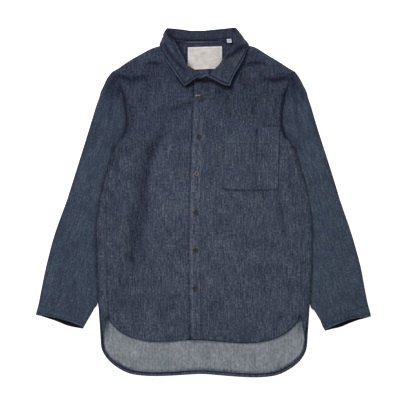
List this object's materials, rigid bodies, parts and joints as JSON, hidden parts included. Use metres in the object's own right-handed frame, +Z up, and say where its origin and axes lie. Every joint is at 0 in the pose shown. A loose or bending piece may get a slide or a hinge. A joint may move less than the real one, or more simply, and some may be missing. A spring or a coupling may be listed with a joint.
{
  "type": "denim shirt",
  "caption": "Long-sleeved denim shirt with a chest pocket and a dropped shirt-tail hem, buttoned and laid flat on its back.",
  "frame": {"origin": "centre of the garment's outline, on the table it lies on", "axes": "+X the wearer's left, +Y towards the collar, +Z up off the table"},
  "size_m": [0.8316, 0.872, 0.0219],
  "materials": {
    "denim": "mid-blue denim, face side, matt with a short nap",
    "denim_reverse": "pale grey-blue inside of the denim",
    "label_cloth": "bare off-white woven tape",
    "button_metal": "dark burnished metal"
  },
  "bodies": {
    "root": {"back": "denim_reverse", "yoke_facing": "denim", "front_right": "denim", "front_left": "denim", "placket": "denim", "pocket": "denim", "sleeve_right": "denim", "sleeve_left": "denim", "cuff_right": "denim", "cuff_left": "denim", "collar_stand": "denim", "collar_leaf": "denim", "label": "label_cloth", "size_tab": "label_cloth", "button_1": "button_metal", "button_2": "button_metal", "button_3": "button_metal", "button_4": "button_metal", "button_5": "button_metal", "button_6": "button_metal"}
  },
  "joints": []
}
